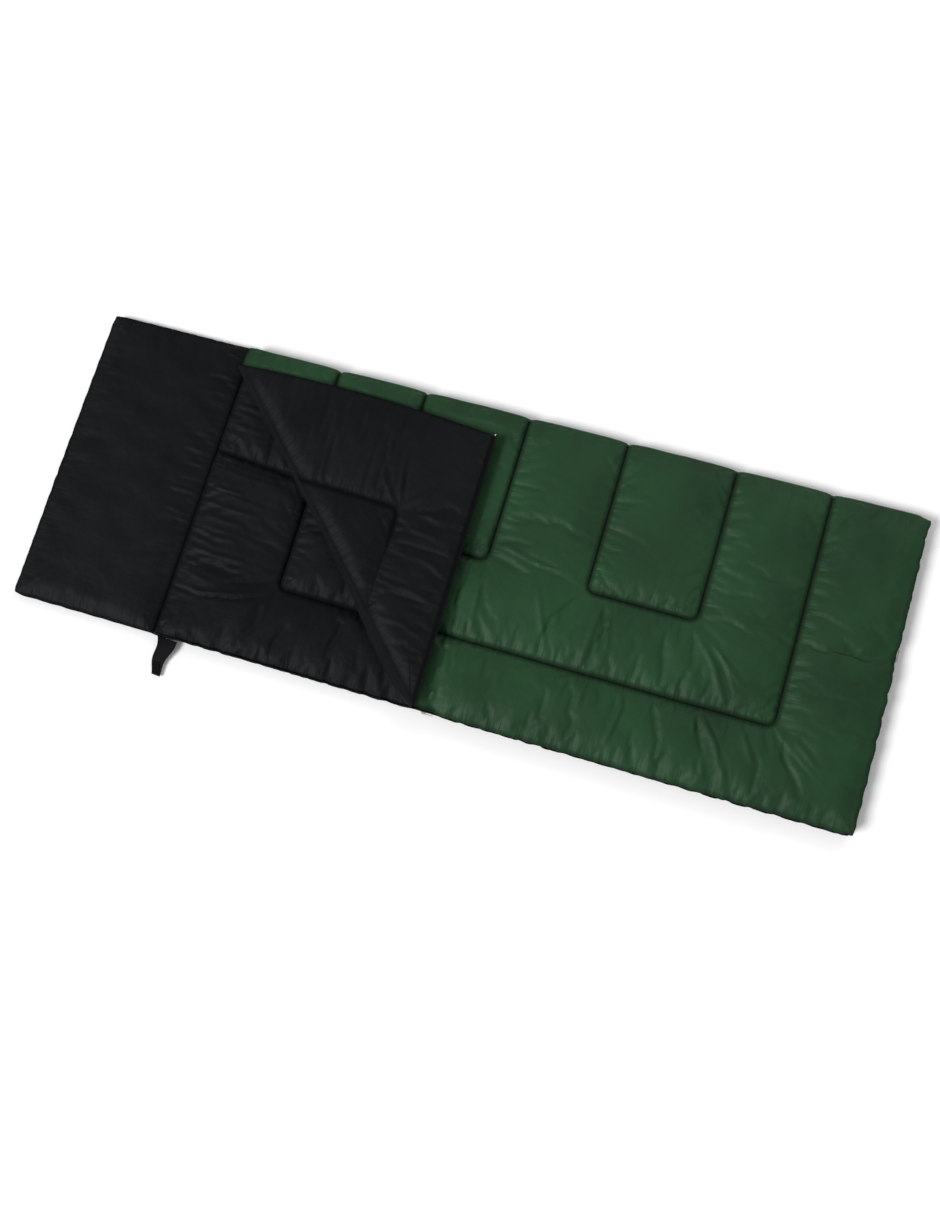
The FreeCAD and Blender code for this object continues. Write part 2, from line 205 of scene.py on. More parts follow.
class Quilt:
    """One quilted layer: where its edges are and how high it is there."""

    scallop = 0.0       # how far the stitching draws the far edge in
    bow = 0.0           # how far the head hem bows out
    flat_to = 0.0       # the near edge stays flat up to here, where the corner turns back
    far_fold = False    # the far edge runs into the rounded fold

    def __init__(self, x0, x1, y0, y1, radii, edge_z, low, high, stitch, lines, seed, bulge,
                 edge_round=30.0):
        self.x0, self.x1, self.y0, self.y1 = x0, x1, y0, y1
        self.radii = radii              # near-head, near-foot, far-foot, far-head
        self.edge_z = edge_z            # near, foot, far, head
        self.low, self.high = low, high
        self.stitch = stitch            # stitch depth seen from below and from above
        self.lines = [rounded(line, LINE_CORNER) for line in lines]
        self.seed = seed
        self.bulge = bulge              # how far it swells past the seam: near, foot, far, head
        self.edge_round = edge_round

    def plan(self, xs, ys):
        """Flat places of the grid points, with rounded corners and drawn-in sides."""
        X, Y = np.meshgrid(xs, ys, indexing="ij")
        U, V = X.copy(), Y.copy()
        corners = [(self.x0, self.y0, 1, 1), (self.x1, self.y0, -1, 1),
                   (self.x1, self.y1, -1, -1), (self.x0, self.y1, 1, -1)]
        for (cx, cy, sx, sy), r in zip(corners, self.radii):
            if r <= 0:
                continue
            u = (r - (X - cx) * sx) / r
            v = (r - (Y - cy) * sy) / r
            inside = (u > 0) & (v > 0)
            u, v = np.clip(u, 0, 1), np.clip(v, 0, 1)
            mu, mv = u * np.sqrt(1 - v * v / 2), v * np.sqrt(1 - u * u / 2)
            U = np.where(inside, cx + sx * (r - r * mu), U)
            V = np.where(inside, cy + sy * (r - r * mv), V)
        sides = zip(self.distances(X, Y), (X, Y, X, Y), self.bulge, OUTWARDS)
        for k, (gap, run, swell, (out_x, out_y)) in enumerate(sides):
            if not swell:
                continue
            grow = swell * (0.8 + 0.2 * ribs(run, gap, self.seed + k, 57.0) + 0.12 * ripple(run, self.seed))
            if k == 0 and self.flat_to:
                grow = grow * smooth((run - self.flat_to) / 50.0)
            if k in ROOM_AT:
                grow = grow * (1 - 0.85 * np.exp(-((run - ROOM_AT[k]) / 26.0) ** 2))
            out = grow * (gap / SWELL_AT) * np.exp(1 - gap / SWELL_AT)
            U = U + out_x * out
            V = V + out_y * out
        if self.flat_to:
            V = V + 5.0 * (1 - smooth((X - self.flat_to + 30) / 30.0)) * np.exp(-(Y - self.y0) / 60.0)
        sewn = self.stitch_distance(X, Y)
        V = V - self.scallop * np.exp(-sewn / 20.0) * np.exp(-(self.y1 - Y) / 34.0)
        hem_share = np.clip((FLAP_TOP - Y) / (FLAP_TOP - NEAR), 0, 1)
        U = U - self.bow * np.sin(math.pi * hem_share) * np.exp(-(X - self.x0) / 260.0)
        return X, Y, U, V

    def distances(self, X, Y):
        """Distances from the near, foot, far and head edges."""
        return Y - self.y0, self.x1 - X, self.y1 - Y, X - self.x0

    def sewn_edges(self, X, Y):
        """Number, distance and run of each sewn edge; the rounded far fold isn't one."""
        edges = enumerate(zip(self.distances(X, Y), (X, Y, X, Y)))
        return [(k, d, run) for k, (d, run) in edges if k != FAR_EDGE or not self.far_fold]

    def edge_distance(self, X, Y):
        """Distance from the nearest sewn edge."""
        return np.minimum.reduce([d for _, d, _ in self.sewn_edges(X, Y)])

    def stitch_distance(self, X, Y):
        """Distance from the nearest stitch line."""
        best = np.full(X.shape, 1e9)
        for line in self.lines:
            best = np.minimum(best, along(X, Y, line)[0])
        return best

    def crown(self, X, Y, top):
        """Height of the puffs between the seams."""
        return self.high if top else self.low

    def surface(self, xs, ys, top):
        """Puffed upper or lower face over the grid."""
        X, Y, U, V = self.plan(xs, ys)
        edges = self.distances(X, Y)
        weights = [np.exp(-np.maximum(d, 0) / 14.0) + 1e-12 for d in edges]
        if self.far_fold:
            weights[FAR_EDGE] = weights[FAR_EDGE] * 0
        border = sum(w * z for w, z in zip(weights, self.edge_z)) / sum(weights)
        nearest = self.edge_distance(X, Y)
        pressed = self.sewn_height(X, Y, top)
        puff = np.ones(X.shape)
        for k, line in enumerate(self.lines):
            d, run, _ = along(X, Y, line)
            width = SEAM_RISE * (1 + 0.22 * ribs(run, d, self.seed + k, 38.0))
            rise = 0.46 * arch(d / width) + 0.54 * arch(d / PUFF_RISE)
            puff = np.minimum(puff, 1 - (1 - rise) * self.depth_share(k, run))
        body = pressed + (self.crown(X, Y, top) - pressed) * puff
        lumps = slow_noise(X, Y, self.seed) * smooth(self.stitch_distance(X, Y) / 60) * smooth(nearest / 60)
        body = body + (1.6 * lumps if top else 0.0)
        if self.far_fold:
            body = ZIP_Z + (body - ZIP_Z) * arch((edges[FAR_EDGE] + FOLD_OUT) / 60.0)
        share = 0.62 * arch(nearest / self.edge_round) + 0.38 * arch(nearest / EDGE_PUFF)
        Z = border + (body - border) * share
        return np.stack([U, V, Z], axis=-1), X, Y

    def sewn_height(self, X, Y, top):
        """Height of the stitch lines."""
        return self.stitch[1] if top else self.stitch[0]

    def depth_share(self, k, run):
        """How tightly line k is drawn down along its run."""
        return 1.0

    def seam_map(self, X, Y):
        """Distance along and away from the nearest seam, for the fine puckers and the painted shade in the
        seam valleys.
        """
        gap = np.full(X.shape, 1e9)
        place = np.zeros(X.shape)
        for k, line in enumerate(self.lines):
            d, run, _ = along(X, Y, line)
            d = d + 18.0 * (1 - self.depth_share(k, run))
            nearer = d < gap
            gap, place = np.where(nearer, d, gap), np.where(nearer, run + 977 * k, place)
        for k, d, run in self.sewn_edges(X, Y):
            nearer = d < gap
            gap, place = np.where(nearer, d, gap), np.where(nearer, run + 5003 + 977 * k, place)
        return place, gap

    def gathers(self, X, Y, height, reach=30.0):
        """Ribs that run out of every stitch line and edge seam."""
        total = np.zeros(X.shape)
        for k, line in enumerate(self.lines):
            d, run, _ = along(X, Y, line)
            total += ribs(run, d, self.seed + k, 27.0) * (1 - np.exp(-d / 5.0)) * np.exp(-d / reach)
        for k, d, run in self.sewn_edges(X, Y):
            rise = (1 - np.exp(-d / 9.0)) * np.exp(-d / (1.5 * reach))
            total += 1.1 * ribs(run, d, self.seed + 7 + k, 31.0) * rise
        return height * total * smooth(self.edge_distance(X, Y) / 10.0)


def spread(D, old_x, old_y, new_x, new_y):
    """Carries a coarse grid's values over to a finer one along smooth curves."""
    for axis, (old, new) in enumerate(((old_x, new_x), (old_y, new_y))):
        step = old[1] - old[0]
        place = np.clip((new - old[0]) / step, 0, len(old) - 1 - 1e-9)
        i = place.astype(int)
        t = (place - i).reshape([-1 if k == axis else 1 for k in range(D.ndim)])
        taps = [np.take(D, np.clip(i + k, 0, len(old) - 1), axis=axis) for k in (-1, 0, 1, 2)]
        D = 0.5 * (2 * taps[1] + (taps[2] - taps[0]) * t
                   + (2 * taps[0] - 5 * taps[1] + 4 * taps[2] - taps[3]) * t ** 2
                   + (3 * taps[1] - taps[0] - 3 * taps[2] + taps[3]) * t ** 3)
    return D


def grid_faces(nx, ny, up):
    """Quads of a grid, facing up or down."""
    i, j = np.meshgrid(np.arange(nx - 1), np.arange(ny - 1), indexing="ij")
    a = (i * ny + j).ravel()
    quads = np.stack([a, a + ny, a + ny + 1, a + 1], axis=-1)
    return quads if up else quads[:, ::-1]


def tube_faces(rows, ring):
    """Quads between rings of points, with both ends closed."""
    faces = []
    for i in range(rows - 1):
        for k in range(ring):
            a, b = i * ring + k, i * ring + (k + 1) % ring
            faces.append((a, b, b + ring, a + ring))
    last = (rows - 1) * ring
    return faces + [tuple(range(ring))[::-1], tuple(range(last, last + ring))]


def mesh_piece(name, points, faces):
    """New mesh object from points in millimetres."""
    mesh = bpy.data.meshes.new(name)
    points = np.asarray(points, float).reshape(-1, 3) * MM
    mesh.from_pydata(points.tolist(), [], [list(map(int, f)) for f in faces])
    mesh.validate()
    piece = bpy.data.objects.new(name, mesh)
    bpy.context.scene.collection.objects.link(piece)
    return piece


def settle(name, P, pinned, lift, growth):
    """Lets a sheet fill and wrinkle between its seams by cloth simulation; gives its new places."""
    nx, ny = P.shape[:2]
    piece = mesh_piece(name, P, grid_faces(nx, ny, True))
    pins = piece.vertex_groups.new(name="sewn")
    pins.add([int(i) for i in np.flatnonzero(pinned.ravel())], 1.0, "REPLACE")
    cloth = piece.modifiers.new("cloth", "CLOTH")
    settings = cloth.settings
    for key, value in CLOTH.items():
        setattr(settings, key, value)
    settings.vertex_group_mass = "sewn"
    settings.shrink_min = -growth
    settings.effector_weights.gravity = lift
    cloth.collision_settings.use_collision = False
    cloth.point_cache.frame_start = 1
    cloth.point_cache.frame_end = SIM_FRAMES
    scene = bpy.context.scene
    for f in range(1, SIM_FRAMES + 1):
        scene.frame_set(f)
    shape = piece.evaluated_get(bpy.context.evaluated_depsgraph_get()).data
    found = np.zeros(len(shape.vertices) * 3, np.float32)
    shape.vertices.foreach_get("co", found)
    bpy.data.objects.remove(piece)
    scene.frame_set(1)
    return found.reshape(nx, ny, 3).astype(float) / MM


def eased(values, reach):
    """Running average over the grid."""
    for axis in (0, 1):
        ends = [(reach, reach) if k == axis else (0, 0) for k in range(values.ndim)]
        padded = np.pad(values, ends, mode="edge")
        total = np.cumsum(np.insert(padded, 0, 0.0, axis=axis), axis=axis)
        size = values.shape[axis]
        ahead = np.take(total, np.arange(2 * reach + 1, size + 2 * reach + 1), axis=axis)
        values = (ahead - np.take(total, np.arange(size), axis=axis)) / (2 * reach + 1)
    return values


def filled(quilt, xs, ys, top, lift, growth, cap, gather, folds=()):
    """A finished face: puffed shape, simulated wrinkles, gathers and long folds.

    The cloth grows by the share growth under the gravity share lift, and moves at most cap millimetres."""
    fine, X, Y = quilt.surface(xs, ys, top)
    cx = np.linspace(quilt.x0, quilt.x1, int((quilt.x1 - quilt.x0) / SIM_STEP) + 1)
    cy = np.linspace(quilt.y0, quilt.y1, int((quilt.y1 - quilt.y0) / SIM_STEP) + 1)
    rough, CX, CY = quilt.surface(cx, cy, top)
    nearest = np.minimum.reduce(quilt.distances(CX, CY))
    pinned = (quilt.stitch_distance(CX, CY) < 5.0) | (nearest < 1.0)
    moved = settle("settling", rough, pinned, lift, growth) - rough
    swell = eased(moved, 5)
    moved = moved - 0.75 * swell
    size = np.linalg.norm(moved, axis=-1, keepdims=True)
    moved *= cap * np.tanh(size / cap) / np.maximum(size, 1e-6)
    fine = fine + spread(moved, cx, cy, xs, ys)
    up = 1.0 if top else -1.0
    fine[..., 2] += up * quilt.gathers(X, Y, gather)
    for line, height, width in folds:
        path = rounded(line, 14.0) if len(line) > 2 else line
        d, run, side = along(X, Y, path)
        length = sum(math.dist(a, b) for a, b in zip(path, path[1:]))
        fade = np.sin(math.pi * np.clip(run / length, 0.0, 1.0)) ** 0.6
        shape = (0.45 + 1.25 * side * d / width) * np.exp(-(d / width) ** 2)
        fine[..., 2] += up * height * fade * np.where(d < 4 * width, shape, 0.0)
    return fine, X, Y


def cut_at_crease(piece, keep_cover):
    """Cuts a flat upper piece along the crease and keeps one side. Gives the points on the cut."""
    mesh = piece.data
    work = bmesh.new()
    work.from_mesh(mesh)
    geometry = work.verts[:] + work.edges[:] + work.faces[:]
    bmesh.ops.bisect_plane(work, geom=geometry, dist=1e-6, plane_co=CREASE_AT * MM,
                           plane_no=CREASE_SIDE, clear_inner=keep_cover, clear_outer=not keep_cover)
    cut = []
    for v in work.verts:
        side = (v.co - CREASE_AT * MM).dot(CREASE_SIDE)
        if abs(side) < 2e-6:
            cut.append(np.array(v.co) / MM)
    work.to_mesh(mesh)
    work.free()
    return sorted(cut, key=lambda p: (Vector(p) - CREASE_AT).dot(CREASE_RUN))


def fold_back(piece):
    """Turns a cut corner over onto the cover and eases its free corner into place."""
    turn = Matrix.Rotation(math.pi, 4, CREASE_RUN)
    place = Matrix.Translation(CREASE_AT * MM) @ turn @ Matrix.Translation(-CREASE_AT * MM)
    piece.data.transform(place)
    corner = place @ Vector((HEM * MM, NEAR * MM, ZIP_Z * MM))
    full = (corner - CREASE_AT * MM).dot(CREASE_SIDE)
    for v in piece.data.vertices:
        share = (v.co - CREASE_AT * MM).dot(CREASE_SIDE) / full
        v.co.x += EASE[0] * MM * share
        v.co.y += EASE[1] * MM * share


def outward(piece):
    """Turns all faces of a closed piece outwards."""
    work = bmesh.new()
    work.from_mesh(piece.data)
    bmesh.ops.recalc_face_normals(work, faces=work.faces)
    work.to_mesh(piece.data)
    work.free()


def finish_cloth(piece, thickness=1.0):
    """Gives a sheet its thickness and smooth shading."""
    bpy.ops.object.select_all(action="DESELECT")
    piece.select_set(True)
    bpy.context.view_layer.objects.active = piece
    if thickness:
        solid = piece.modifiers.new("cloth thickness", "SOLIDIFY")
        solid.thickness = thickness * MM
        solid.offset = -1.0
        bpy.ops.object.modifier_apply(modifier=solid.name)
    bpy.ops.object.shade_smooth_by_angle(angle=math.radians(62))
    piece.select_set(False)


# ---------------------------------------------------------------- materials

def linear(code):
    """sRGB hex to linear."""
    values = [int(code[i:i + 2], 16) / 255 for i in (1, 3, 5)]
    return tuple(v / 12.92 if v <= 0.04045 else ((v + 0.055) / 1.055) ** 2.4 for v in values) + (1.0,)


def node(tree, kind, inputs=None, **settings):
    """Adds a node with its settings, and sets or links its inputs."""
    made = tree.nodes.new(kind)
    for key, value in settings.items():
        setattr(made, key, value)
    for key, value in (inputs or {}).items():
        if isinstance(value, bpy.types.NodeSocket):
            tree.links.new(value, made.inputs[key])
        else:
            made.inputs[key].default_value = value
    return made


def combined(tree, operation, a, b):
    """Two values multiplied, added or raised."""
    return node(tree, "ShaderNodeMath", {0: a, 1: b}, operation=operation).outputs[0]


def remapped(tree, value, to_low, to_high, from_low=0.0, from_high=1.0):
    """A value carried over from one range to another."""
    return node(tree, "ShaderNodeMapRange", {"Value": value, "From Min": from_low, "From Max": from_high,
                                             "To Min": to_low, "To Max": to_high}).outputs[0]


def raised(tree, height, strength, depth_mm, under=None):
    """Bump from a height, on top of the bump under it."""
    inputs = {"Height": height, "Strength": strength, "Distance": depth_mm * MM}
    if under:
        inputs["Normal"] = under
    return node(tree, "ShaderNodeBump", inputs).outputs[0]


def new_material(name):
    """Empty material with its output."""
    made = bpy.data.materials.new(name)
    made.use_nodes = True
    made.node_tree.nodes.clear()
    out = made.node_tree.nodes.new("ShaderNodeOutputMaterial")
    return made, made.node_tree, out


def woven_polyester(name, light, dark, rough, gleam):
    """Plain-weave polyester: a satin gloss, soft crinkles, puckers that run out of the seams, and painted
    shade in the seam valleys.

    The weave is 0.35 mm, drawn at 1.4 mm so that it shows."""
    weave_scale = 0.314 / (1.4 * MM)
    crinkle_scale = 1 / (34.0 * MM)
    pleat_scale, pleat_reach, pleat_fade = 1 / (11.0 * MM), 1 / (80.0 * MM), -1 / (26.0 * MM)
    made, tree, out = new_material(name)
    place = node(tree, "ShaderNodeTexCoord").outputs["Object"]
    lumps = node(tree, "ShaderNodeTexNoise", {"Vector": place, "Scale": 5.0, "Detail": 3.0})
    tint = node(tree, "ShaderNodeValToRGB", {"Fac": lumps.outputs["Fac"]})
    for step, at, colour in zip(tint.color_ramp.elements, (0.3, 0.7), (dark, light)):
        step.position, step.color = at, linear(colour)
    warp, weft = [node(tree, "ShaderNodeTexWave", {"Vector": place, "Scale": weave_scale},
                       bands_direction=way).outputs["Fac"] for way in ("X", "Y")]
    crinkle = node(tree, "ShaderNodeTexNoise", {"Vector": place, "Scale": crinkle_scale, "Detail": 4.0,
                                                "Roughness": 0.5}).outputs["Fac"]
    run = node(tree, "ShaderNodeAttribute", attribute_name="seam_run").outputs["Fac"]
    gap = node(tree, "ShaderNodeAttribute", attribute_name="seam_gap").outputs["Fac"]
    across = node(tree, "ShaderNodeCombineXYZ", {"X": combined(tree, "MULTIPLY", run, pleat_scale),
                                                 "Y": combined(tree, "MULTIPLY", gap, pleat_reach)})
    pleats = node(tree, "ShaderNodeTexNoise", {"Vector": across.outputs[0], "Scale": 1.0, "Detail": 2.0})
    fade = combined(tree, "POWER", 2.718, combined(tree, "MULTIPLY", gap, pleat_fade))
    pucker = combined(tree, "MULTIPLY", pleats.outputs["Fac"], fade)
    fine = raised(tree, combined(tree, "MULTIPLY", warp, weft), 0.3, 0.1)
    soft = raised(tree, crinkle, 1.0, 2.2, fine)
    drawn = raised(tree, pucker, 1.0, 4.5, soft)
    # Painted shade: the colour darkens to 0.3 of itself towards each seam, standing in for the shade in the
    # stitched valleys
    painted_seam_shade = remapped(tree, gap, 0.3, 1.0, 0.0015, 0.0130)
    hollow = remapped(tree, painted_seam_shade, 0.4, 0.0, 0.3, 1.0)
    matt = combined(tree, "ADD", remapped(tree, crinkle, rough - 0.05, rough + 0.07), hollow)
    shaded = node(tree, "ShaderNodeVectorMath", {0: tint.outputs["Color"]}, operation="SCALE")
    tree.links.new(painted_seam_shade, shaded.inputs["Scale"])
    shader = node(tree, "ShaderNodeBsdfPrincipled",
                  {"Base Color": shaded.outputs[0], "Roughness": matt, "Sheen Weight": 0.04,
                   "Sheen Roughness": 0.4, "IOR": 1.5, "Specular IOR Level": gleam, "Normal": drawn})
    tree.links.new(shader.outputs[0], out.inputs[0])
    return made


def plain_finish(name, colour, rough, metallic=0.0, grain_mm=3.0, grain_depth=0.03, gleam=0.5):
    """Moulded plastic, metal or webbing with a fine grain."""
    made, tree, out = new_material(name)
    place = node(tree, "ShaderNodeTexCoord").outputs["Object"]
    grain = node(tree, "ShaderNodeTexNoise", {"Vector": place, "Scale": 1.0 / (grain_mm * MM),
                                              "Detail": 3.0}).outputs["Fac"]
    gloss = remapped(tree, grain, rough - 0.06, rough + 0.08)
    shader = node(tree, "ShaderNodeBsdfPrincipled",
                  {"Base Color": linear(colour), "Roughness": gloss, "Metallic": metallic,
                   "Specular IOR Level": gleam, "Normal": raised(tree, grain, 0.6, grain_depth)})
    tree.links.new(shader.outputs[0], out.inputs[0])
    return made


shell_green = woven_polyester("green_polyester_taffeta", "#1b3e23", "#132f19", 0.54, 0.19)
lining_black = woven_polyester("black_polyester_lining", "#0e1112", "#090b0c", 0.56, 0.085)
tape_black = plain_finish("knitted_polyester_zip_tape", "#08090a", 0.8, 0.0, 1.0, 0.05, 0.05)
teeth_black = plain_finish("moulded_acetal_zip_teeth", "#060707", 0.42, 0.0, 2.0, 0.02, 0.25)
thread_green = plain_finish("twisted_polyester_thread_green", "#14281a", 0.7, 0.0, 0.6, 0.05, 0.15)
thread_black = plain_finish("twisted_polyester_thread_black", "#060708", 0.7, 0.0, 0.6, 0.05, 0.1)
slider_nickel = plain_finish("nickel_plated_zinc", "#c9c9c4", 0.28, 1.0, 4.0, 0.01)
stop_aluminium = plain_finish("pressed_aluminium", "#e4e4e2", 0.22, 1.0, 4.0, 0.01)
stop_enamel = plain_finish("black_enamelled_brass", "#0d0e0f", 0.4, 0.0, 2.0, 0.02, 0.3)
webbing_black = plain_finish("nylon_webbing", "#0b0c0d", 0.75, 0.0, 1.2, 0.15, 0.1)
hook_black = plain_finish("hook_and_loop_nylon", "#0c0d0e", 0.9, 0.0, 0.8, 0.3, 0.08)


def dress(piece, material):
    """Gives a piece one material."""
    piece.data.materials.clear()
    piece.data.materials.append(material)


def assign(piece, material, body, nodes=()):
    """Dresses a piece and says which body it rides and what it replaces."""
    dress(piece, material)
    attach(piece, body)
    if nodes:
        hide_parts(*nodes)


def join_bodies(piece):
    """Bakes a piece's placement into its points."""
    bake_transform(piece)


# ---------------------------------------------------------------- camera, floor and light

view_from = Vector((0.541, -0.6385, 3.085))
view_dir = Vector((-0.1501, 0.1673, -0.9744))
view_up = Vector((-0.2642, 0.9429, 0.2026))
camera_data = bpy.data.cameras.new("camera")
camera = bpy.data.objects.new("camera", camera_data)
bpy.context.scene.collection.objects.link(camera)
side = view_dir.cross(view_up).normalized()
upward = side.cross(view_dir).normalized()
turn = Matrix((side, upward, -view_dir.normalized())).transposed()
camera.matrix_world = Matrix.Translation(view_from) @ turn.to_4x4()
camera_data.sensor_width = 36.0
camera_data.lens = 37.037037
camera_data.clip_start, camera_data.clip_end = 0.05, 200.0
bpy.context.scene.camera = camera

bpy.ops.mesh.primitive_plane_add(size=90.0, location=(0, 0, 0))
floor = bpy.context.object
floor.name = "floor"
floor_paint, floor_tree, floor_out = new_material("matt_white_paper")
floor_shader = node(floor_tree, "ShaderNodeBsdfPrincipled",
                    {"Base Color": linear("#f6f6f6"), "Roughness": 0.9})
floor_tree.links.new(floor_shader.outputs[0], floor_out.inputs[0])
dress(floor, floor_paint)

world = bpy.data.worlds.new("studio")
world.use_nodes = True
world.node_tree.nodes["Background"].inputs[0].default_value = (1, 1, 1, 1)
seen = node(world.node_tree, "ShaderNodeLightPath").outputs["Is Camera Ray"]
glow = remapped(world.node_tree, seen, 0.42, 1.0)
world.node_tree.links.new(glow, world.node_tree.nodes["Background"].inputs[1])
bpy.context.scene.world = world


def add_lamp(name, kind, place, aim, energy, **settings):
    """Lamp aimed from its place at a point."""
    lamp = bpy.data.lights.new(name, kind)
    lamp.energy = energy
    for key, value in settings.items():
        setattr(lamp, key, value)
    made = bpy.data.objects.new(name, lamp)
    made.location = place
    made.rotation_euler = (Vector(aim) - Vector(place)).to_track_quat("-Z", "Y").to_euler()
    bpy.context.scene.collection.objects.link(made)


add_lamp("fill_softbox", "AREA", (1.4, 3.4, 3.2), (0, 0, 0), 40, shape="RECTANGLE", size=3.0, size_y=2.0)
add_lamp("key_light", "SUN", (0, 0, 0), (1.9, 1.7, -2.5), 3.0, angle=math.radians(26))
bpy.context.scene.view_settings.view_transform = "Standard"

# ---------------------------------------------------------------- quilts

zip_near, zip_foot = NEAR + SEW_IN, FOOT - SEW_IN
corner = ZIP_CORNER - SEW_IN
base = Quilt(SEAM, zip_foot, zip_near, FOLD_Y, radii=(0, corner, 0, 0),
             edge_z=(BASE_EDGE, BASE_EDGE, ZIP_Z, 17.0), low=0.4, high=BASE_TOP, stitch=(7.0, 12.0),
             lines=[BASE_LINE] + SMALL_US, seed=3, bulge=(12.0, 12.0, 0, 0))
upper = Quilt(HEM, zip_foot, zip_near, FOLD_Y, radii=(16, corner, 0, 0),
              edge_z=(COVER_EDGE, COVER_EDGE, SEAM_Z, HEM_EDGE), low=28.8, high=COVER_TOP,
              stitch=(40.5, 42.5), lines=[BIG_U] + SMALL_US, seed=5, bulge=(13.0, 13.0, 0, 5.0))
hood = Quilt(HEAD, SEAM, NEAR + 3, FAR + 6, radii=(22, 0, 0, 22), edge_z=(14.0, 17.0, 14.0, 14.0),
             low=0.4, high=29.0, stitch=(7.0, 12.5), lines=[], seed=11, bulge=(6.0, 0, 6.0, 7.0),
             edge_round=40.0)
base.scallop = upper.scallop = 3.0
base.far_fold = upper.far_fold = True
upper.bow = 13.0
upper.flat_to = 40.0


def crease_share(X, Y):
    """Signed distance from the crease, positive over the cover."""
    return (X - CREASE_AT.x) * CREASE_SIDE.x + (Y - CREASE_AT.y) * CREASE_SIDE.y


def crease_place(X, Y):
    """How far along the crease each point is."""
    return (X - CREASE_AT.x) * CREASE_RUN.x + (Y - CREASE_AT.y) * CREASE_RUN.y


def clear_of_flap(X, Y):
    """0 where the turned-back corner lies over or belongs, rising to 1 away from it."""
    share = crease_share(X, Y)
    away = np.where(share > 0, np.maximum(X - 34.0, Y - 352.0), 0.0)
    return smooth(away / 42.0)


def fold_shape(run):
    """The crease along its run: how far it rolls out, and over what width it is rounded."""
    share = run / CREASE_LENGTH
    out = 11.0 + 15.0 * smooth((share - 0.55) / 0.33) - 17.0 * smooth((share - 0.92) / 0.08)
    out = out + 1.8 * ripple(run, 4, (70.0, 110.0, 190.0))
    return out, out + 58.0


def lowest_near(Z, reach):
    """Lowest height within a few grid cells of each point."""
    for axis in (0, 1):
        ends = [(reach, reach) if k == axis else (0, 0) for k in (0, 1)]
        wide = np.pad(Z, ends, mode="edge")
        rows = np.arange(Z.shape[axis])
        Z = np.minimum.reduce([np.take(wide, rows + k, axis=axis) for k in range(2 * reach + 1)])
    return Z


def crease_low(X, Y):
    """Height of the lining at the crease."""
    run = crease_place(X, Y)
    out, width = fold_shape(run)
    ends = smooth((run + 4.0) / 40.0) * smooth((CREASE_LENGTH + 4.0 - run) / 30.0)
    half = np.minimum(FOLD_HALF * arch(out / width), ROLL_THICK)
    return CREASE_AT.z - ROLL_THIN - (half - ROLL_THIN) * ends


def rounded_to_crease(P):
    """Lining heights drawn in towards the crease so that the fold is round."""
    X, Y, Z = P[..., 0], P[..., 1], P[..., 2]
    share = crease_share(X, Y)
    out, width = fold_shape(crease_place(X, Y))
    half = (CREASE_AT.z - Z) * arch((np.abs(share) + out) / width)
    firm = CREASE_AT.z - crease_low(X, Y)
    return CREASE_AT.z - half - (firm - half) * np.exp(-(share / 20.0) ** 2)


def cover_crown(X, Y, top):
    """The cover puffs up freely where nothing lies on it."""
    if top:
        return COVER_TOP + 2.0 * clear_of_flap(X, Y)
    return 35.5


def base_crown(X, Y, top):
    """The base puffs up where the corner is turned back."""
    if top:
        return 21.5 + 9.5 * smooth((60.0 - crease_share(X, Y)) / 70.0)
    return 0.4


def flap_depth(k, run):
    """The big U is drawn down less towards the crease on the turned-back corner."""
    if k == 0:
        held = np.exp(-(np.maximum(run - 660.0, 0) / 60.0) ** 2)
        return 0.25 + 0.75 * np.maximum(held, smooth((run - 880.0) / 60.0))
    return 1.0


def cover_sewn(X, Y, top):
    """The turned-back corner is drawn in from its lining side, the rest of the cover from above."""
    return (43.0 if top else 40.5) + 6.0 * smooth((-crease_share(X, Y) - 12) / 30.0)


upper.crown = cover_crown
upper.sewn_height = cover_sewn
base.crown = base_crown

# Long folds of the cloth: points, height and width
COVER_FOLDS = [
    ([(342, 28), (200, 28), (105, 56)], 5.5, 7.4),
    ([(609, -5), (689, -93), (742, -186)], 6.2, 8.2),
    ([(620, -8), (702, -70), (770, -126)], 5.1, 7.4),
    ([(679, -210), (741, -276), (794, -384)], 6.7, 9.0),
    ([(664, -220), (734, -362)], 4.6, 7.4),
    ([(781, -210), (835, -300)], 5.1, 7.4),
    ([(882, -205), (893, -270)], 4.2, 6.6),
    ([(907, -205), (985, -270)], 4.2, 7.4),
    ([(404, -205), (401, -290)], 4.2, 6.6),
    ([(482, -210), (503, -255), (489, -350)], 5.5, 7.4),
    ([(410, -12), (434, -145)], 4.6, 7.4),
    ([(389, -40), (379, -180)], 3.8, 6.6),
    ([(10, -50), (72, -300)], 5.1, 8.2),
    ([(86, -30), (97, -185)], 4.2, 7.4),
    ([(229, -30), (293, -185)], 4.2, 7.4),
    ([(39, -270), (58, -380)], 4.2, 6.6),
    ([(640, -14), (706, -84), (752, -160)], -4.6, 5.0),
    ([(330, 18), (250, 34), (150, 48)], -3.6, 5.0),
    ([(700, -214), (752, -286), (780, -372)], -4.2, 5.5),
    ([(866, -212), (930, -262), (985, -300)], -3.4, 5.5),
]
BASE_FOLDS = [
    ([(-690, -262), (-612, -270), (-527, -255), (-454, -229), (-410, -204)], -4.5, 5.0),
    ([(-690, -252), (-612, -258), (-530, -243), (-464, -219)], 2.6, 8.0),
]
for k in range(15):
    y = 88 - 21 * k + 5 * math.sin(2.1 * k)
    reach = 150 + 70 * math.sin(1.7 * k + 0.6)
    end_y = y - 14 + 6 * math.sin(3 * k)
    BASE_FOLDS.append(([(HEM, y), (HEM + 0.5 * reach, y - 9), (HEM + reach, end_y)],
                       2.4 + 1.2 * math.sin(2.9 * k), 6.5))
